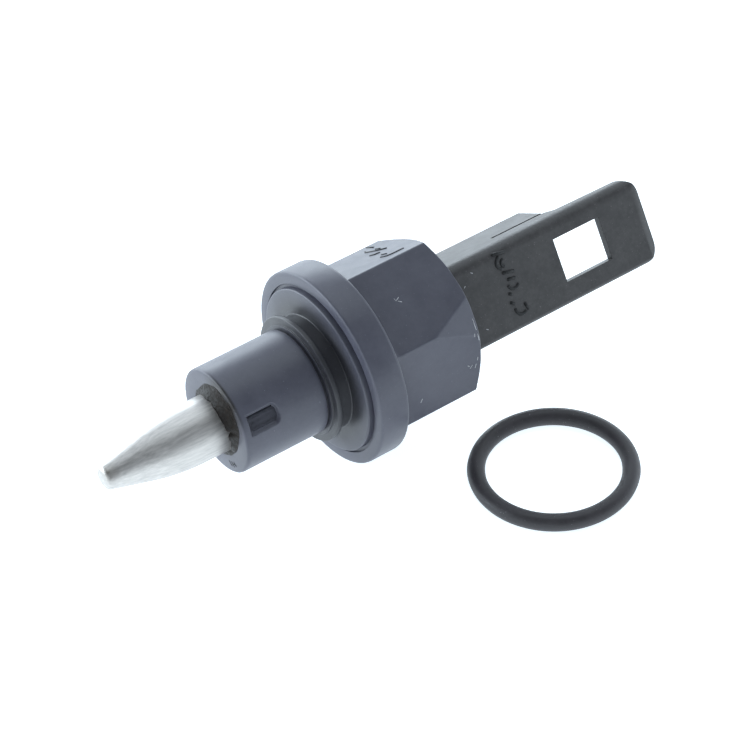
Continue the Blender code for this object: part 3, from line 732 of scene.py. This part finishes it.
def build_shroud_skin():
    inside = SHROUD_HALF - SHROUD_WALL
    base = solid((SHROUD_START, SHROUD_END), (-SHROUD_HALF, SHROUD_HALF), (SHROUD_BACK, SLIT_FLOOR))
    tower = solid((SHROUD_START, SOCKET_FLOOR), (-inside, inside), (0.0, 5.15))
    plug_sheet = bmesh.new()
    bmesh.ops.create_cone(plug_sheet, cap_ends=True, segments=96, radius1=PLUG_RADIUS,
                          radius2=PLUG_RADIUS, depth=PLUG_END - PLUG_START,
                          matrix=Matrix.Translation(((PLUG_START + PLUG_END) / 2, 0, 0))
                          @ Matrix.Rotation(math.radians(90.0), 4, "Y"))
    plug = cutter(plug_sheet)
    socket = solid((SOCKET_FLOOR, SHROUD_END + 2), (-inside, inside),
                   (SHROUD_BACK + SHROUD_WALL, 8.0))
    steps = [("UNION", tower), ("UNION", plug), ("DIFFERENCE", socket)]
    for side in (1, -1):
        across = sorted(side * edge for edge in TERMINAL_SLOT)
        steps.append(("DIFFERENCE", solid((7.0, 20.9), across, TERMINAL_SLOT_HEIGHT)))
    skin = carve(base, steps, SKIN_EDGE, socket_skin_material, "shroud_skin", on_slit)
    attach(skin, "probe")
    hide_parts("connector_housing")


def tongue_plan():
    """Outline of the tongue from above, with round corners at its free end."""
    corner = TONGUE_CORNER
    reach = SHROUD_HALF + 1
    points = [(14.0, -reach), (TONGUE_END - corner, -reach)]
    for side, first in ((-1, -90.0), (1, 0.0)):
        for step in range(9):
            angle = math.radians(first + 90.0 * step / 8)
            points.append((TONGUE_END - corner + corner * math.cos(angle),
                           side * (SHROUD_HALF - corner) + corner * math.sin(angle)))
    return points + [(TONGUE_END - corner, reach), (14.0, reach)]


def build_tongue_skin():
    inside = SHROUD_HALF - SHROUD_WALL
    lip = SLIT_FLOOR + SLIT
    base = rounded_section((16.6, TONGUE_END + 1), SLIT_FLOOR, SHROUD_FRONT)
    plan = prism(tongue_plan(), -10.0, 10.0, "XY")
    under = prism([
        (HINGE_X - 0.1, SLIT_FLOOR - 3),
        (TONGUE_END + 2, SLIT_FLOOR - 3),
        (TONGUE_END + 2, SHROUD_FRONT - 1.8),
        (SHROUD_END + 1.2, SHROUD_FRONT - 2.6),
        (SHROUD_END + 0.2, lip),
        (HINGE_X, lip),
        (HINGE_X - 0.1, lip - SLIT / 2),
    ], -10.0, 10.0, "XZ")
    channel = solid((SOCKET_FLOOR, TONGUE_END - TONGUE_CORNER), (-inside, inside),
                    (0.0, SHROUD_FRONT - SHROUD_WALL))
    window = solid((WINDOW_START, WINDOW_END), (-WINDOW_HALF, WINDOW_HALF), (0.0, 8.0))
    slope = TONGUE_CHAMFER_DEPTH / TONGUE_CHAMFER_LENGTH
    chamfer = prism([
        (TONGUE_END - TONGUE_CHAMFER_LENGTH, SHROUD_FRONT),
        (TONGUE_END + 2, SHROUD_FRONT - slope * (TONGUE_CHAMFER_LENGTH + 2)),
        (TONGUE_END + 2, SHROUD_FRONT + 1),
        (TONGUE_END - TONGUE_CHAMFER_LENGTH, SHROUD_FRONT + 1),
    ], -10.0, 10.0, "XZ")
    skin = carve(base, [
        ("INTERSECT", plan), ("DIFFERENCE", under), ("DIFFERENCE", channel),
        ("DIFFERENCE", window), ("DIFFERENCE", chamfer),
    ], SKIN_EDGE, socket_skin_material, "tongue_skin", on_slit)
    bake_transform(skin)
    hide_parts("latch_tongue")


# ---------------------------------------------------------------- moulded and stamped marks

def circle(centre, radius, first=0.0, last=360.0, steps=16):
    points = []
    for step in range(steps + 1):
        angle = math.radians(first + (last - first) * step / steps)
        points.append((centre[0] + radius * math.cos(angle), centre[1] + radius * math.sin(angle)))
    return points


# Plain strokes with no meaning, where the real part is lettered: (place on the face) paths
TONGUE_MARKS = [
    [(26.1, 4.95), (28.1, 4.6)], circle((27.1, 3.45), 0.85, 100.0, 250.0),
    circle((27.5, 3.3), 0.5, 100.0, 250.0), [(26.7, 2.1), (28.5, 1.7)],
    circle((27.75, 0.35), 0.85, 190.0, 330.0), [(27.1, 1.0), (28.3, 0.8)],
    [(26.6, -0.8), (27.0, -1.1)], circle((27.7, -3.2), 0.92, 170.0, 310.0),
    [(26.9, -2.4), (26.4, -2.0)], [(28.4, -2.9), (28.7, -3.9)],
]
HEX_MARKS = [
    [(15.0, -5.3), (15.15, -3.6)], [(13.7, -3.5), (13.4, -2.9), (14.1, -1.3), (15.1, 0.0)],
    [(14.6, -2.2), (14.9, -1.4)], [(12.5, -0.3), (13.0, 0.3), (13.7, 0.5)],
    [(12.2, 3.1), (12.7, 3.9), (13.4, 4.1), (15.3, 4.1)], [(13.0, 2.0), (13.4, 2.8)],
]
FACE_MARKS = [
    [(-0.5, -5.5), (-0.2, -6.3)], [(0.1, -5.6), (0.4, -6.4)], [(0.7, -5.6), (1.0, -6.3)],
    [(0.1, -6.0), (0.9, -5.9)],
]


# Pale nicks: (place along x, place across the flat) paths on each face
FRONT_FLAT_NICKS = [[(9.94, 0.24), (9.5, 0.6)], [(9.9, 1.0), (9.3, 0.7), (9.25, 1.1)]]
LOW_FLAT_NICKS = [
    [(8.3, -3.3), (8.6, -2.8)], [(6.1, -4.85), (6.25, -4.7)], [(16.4, -1.9), (16.8, -1.5)],
    [(17.2, -2.2), (17.4, -1.6)], [(16.0, -1.2), (16.3, -1.5)], [(17.6, -1.1), (17.7, -0.6)],
]
FACET_NICKS = [
    [(17.75, -3.3), (17.8, -2.4)], [(17.8, -1.9), (17.85, -0.3)], [(17.2, -2.6), (17.35, -2.2)],
]
TONGUE_NICKS = [
    [(22.2, 4.1), (22.5, 3.9)], [(21.6, -3.7), (21.9, -3.9)], [(20.6, 2.6), (20.8, 2.8)],
]


def on_flat(degrees, level):
    """Places on a flat whose outward direction is so many degrees round from the tongue."""
    turn = math.radians(degrees)
    return lambda x, across: (x, level * math.sin(turn) + across * math.cos(turn),
                              level * math.cos(turn) - across * math.sin(turn))


def add_strokes(sheet, paths, place, width):
    """Half-sunk round strokes along paths; place turns a path's point into the axis frame."""
    curve = bpy.data.curves.new("strokes", "CURVE")
    curve.dimensions = "3D"
    curve.bevel_depth = width / 2
    curve.bevel_resolution = 1
    curve.use_fill_caps = True
    for path in paths:
        spline = curve.splines.new("POLY")
        spline.points.add(len(path) - 1)
        for point, (first, second) in zip(spline.points, path):
            point.co = (*place(first, second), 1.0)
    drawn = bpy.data.objects.new("strokes", curve)
    bpy.context.scene.collection.objects.link(drawn)
    sheet.from_mesh(evaluated_mesh(drawn))
    bpy.data.objects.remove(drawn, do_unlink=True)


def on_facet(x, across):
    """Places on the flat cut that slopes off the hexagon's first corner."""
    top = HEX_APOTHEM / math.cos(math.radians(30.0)) - (x - FACET_START) * FACET_SLOPE
    return (x, across, top - MARK_SUNK)


def stroke_skin(name, material, groups):
    sheet = bmesh.new()
    for paths, place, width in groups:
        add_strokes(sheet, paths, place, width)
    bmesh.ops.remove_doubles(sheet, verts=sheet.verts, dist=0.001)
    skin = finish_mesh(name, sheet, material)
    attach(skin, "probe")


def build_marks():
    on_tongue = on_flat(0.0, SHROUD_FRONT - MARK_SUNK)
    # these strokes take their dark colour, which is painted shade, from the mark material
    stroke_skin("painted_shade_marks_skin", painted_shade_mark_material, [
        (TONGUE_MARKS, on_tongue, 0.5),
        (HEX_MARKS, lambda x, z: (x, HEX_APOTHEM - MARK_SUNK, z), 0.32),
        (FACE_MARKS, lambda z, y: (BARREL_FRONT + MARK_SUNK, y, z), 0.18),
    ])
    stroke_skin("nicks_skin", nick_material, [
        (FRONT_FLAT_NICKS, on_flat(30.0, HEX_APOTHEM - MARK_SUNK), 0.13),
        (LOW_FLAT_NICKS, on_flat(-30.0, HEX_APOTHEM - MARK_SUNK), 0.15),
        (FACET_NICKS, on_facet, 0.15),
        (TONGUE_NICKS, on_tongue, 0.14),
    ])


# ---------------------------------------------------------------- O-ring

def build_ring_skin():
    """Torus with a fine parting line round its outside and inside."""
    low, high = (Vector(corner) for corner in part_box("o_ring"))
    section = (high.z - low.z) / 2
    centre_radius = (high.x - low.x) / 2 - section
    centre = (low + high) / 2
    sheet = bmesh.new()
    around, across = 160, 28
    grid = []
    for i in range(around):
        turn = 2 * math.pi * i / around
        line = []
        for j in range(across):
            roll = 2 * math.pi * j / across
            skin_section = section if j % (across // 2) == 0 else section - PARTING_LINE * MM
            reach = centre_radius + skin_section * math.cos(roll)
            line.append(sheet.verts.new((reach * math.cos(turn), reach * math.sin(turn),
                                         section * math.sin(roll))))
        grid.append(line)
    for i in range(around):
        here, following = grid[i], grid[(i + 1) % around]
        for j in range(across):
            other = (j + 1) % across
            sheet.faces.new((here[j], following[j], following[other], here[other]))
    bmesh.ops.recalc_face_normals(sheet, faces=sheet.faces)
    mesh = bpy.data.meshes.new("ring_skin")
    sheet.to_mesh(mesh)
    sheet.free()
    mesh.shade_smooth()
    skin = bpy.data.objects.new("ring_skin", mesh)
    bpy.context.scene.collection.objects.link(skin)
    mesh.materials.append(rubber_skin_material)
    skin.location = centre
    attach(skin, "seal")
    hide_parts("o_ring")


# ---------------------------------------------------------------- CAD nodes that stay

def dress_kept_nodes():
    tin = plain_metal("tin_skin", (0.82, 0.8, 0.75), 0.22)
    copper = plain_metal("wire_skin", (0.75, 0.5, 0.35), 0.3)
    sleeve = plain_surface("sleeve_skin", (0.75, 0.73, 0.66), 0.45)
    paste = plain_surface("paste_skin", (0.7, 0.7, 0.68), 0.6)
    glass = plain_surface("bead_skin", (0.4, 0.2, 0.09), 0.12)
    looks = {
        "terminal_a": tin, "terminal_b": tin, "lead_a": copper, "lead_b": copper,
        "lead_sleeve_a": sleeve, "lead_sleeve_b": sleeve, "thermal_filler": paste,
        "thermistor_bead": glass, "cavity_seal": resin_skin_material,
    }
    for node, material in looks.items():
        item = frame["nodes"][node]
        for material_slot in item.material_slots:
            material_slot.material = material


# ---------------------------------------------------------------- camera, floor and light

CAMERA_OFFSET = Vector((-136.51, -215.87, 219.10)) * MM
CAMERA_UP = Vector((0.41467, 0.50785, 0.75508))
CAMERA_BACK = Vector((-0.42184, -0.62795, 0.65401))
DARK_SIDE = Vector((-0.35, -0.78, 0.5)).normalized()


def build_camera():
    camera = bpy.data.cameras.new("camera")
    camera.sensor_width = 36.0
    camera.lens = 124.8
    camera.clip_start = 0.01
    item = bpy.data.objects.new("camera", camera)
    bpy.context.scene.collection.objects.link(item)
    right = CAMERA_UP.cross(CAMERA_BACK).normalized()
    up = CAMERA_BACK.cross(right).normalized()
    facing = Matrix((right, up, CAMERA_BACK.normalized())).transposed().to_4x4()
    item.matrix_world = Matrix.Translation(AXIS_PLACE + CAMERA_OFFSET) @ facing
    bpy.context.scene.camera = item


def build_floor():
    sheet = bmesh.new()
    bmesh.ops.create_grid(sheet, x_segments=1, y_segments=1, size=3.0)
    mesh = bpy.data.meshes.new("floor")
    sheet.to_mesh(mesh)
    sheet.free()
    floor = bpy.data.objects.new("floor", mesh)
    floor.location.z = -0.00005
    bpy.context.scene.collection.objects.link(floor)
    mesh.materials.append(floor_surface())


def build_world():
    """A cool white studio with a dark opening where the camera stands and to its right."""
    world = bpy.data.worlds.new("world")
    bpy.context.scene.world = world
    world.use_nodes = True
    tree = world.node_tree
    background = tree.nodes["Background"]
    direction = add_node(tree, "ShaderNodeTexCoord").outputs["Generated"]
    facing = add_node(tree, "ShaderNodeVectorMath", {0: direction, 1: tuple(DARK_SIDE)},
                      operation="DOT_PRODUCT").outputs["Value"]
    towards = ramp(tree, facing, [(0.0, 1.0), (0.45, 0.5), (0.8, 0.4)])
    height = add_node(tree, "ShaderNodeSeparateXYZ", {"Vector": direction}).outputs["Z"]
    upwards = ramp(tree, height, [(0.08, STUDIO_WHITE), (0.4, (0.44, 0.49, 0.55)),
                                  (0.85, (0.27, 0.295, 0.32))])
    tree.links.new(mix_colour(tree, 1.0, towards, upwards, "MULTIPLY"),
                   background.inputs["Color"])
    background.inputs["Strength"].default_value = 2.2


def add_softbox(name, place, size, energy):
    light = bpy.data.lights.new(name, "AREA")
    light.shape = "RECTANGLE"
    light.size, light.size_y = size
    light.energy = energy
    light.color = STUDIO_WHITE
    item = bpy.data.objects.new(name, light)
    bpy.context.scene.collection.objects.link(item)
    item.location = AXIS_PLACE + Vector(place)
    item.rotation_euler = (-Vector(place)).to_track_quat("-Z", "Y").to_euler()


def build_lights():
    add_softbox("back_light", (0.1, 0.55, 0.16), (0.9, 0.25), 2.4)
    add_softbox("left_light", (-0.42, 0.42, 0.16), (0.5, 0.25), 2.6)
    add_softbox("high_light", (0.15, 0.1, 0.6), (0.5, 0.5), 1.0)


bpy.context.scene.view_settings.view_transform = "Standard"
build_camera()
build_floor()
build_world()
build_lights()
build_body_skin()
build_sheath_skin()
build_resin_skin()
build_shroud_skin()
build_tongue_skin()
build_marks()
build_ring_skin()
dress_kept_nodes()
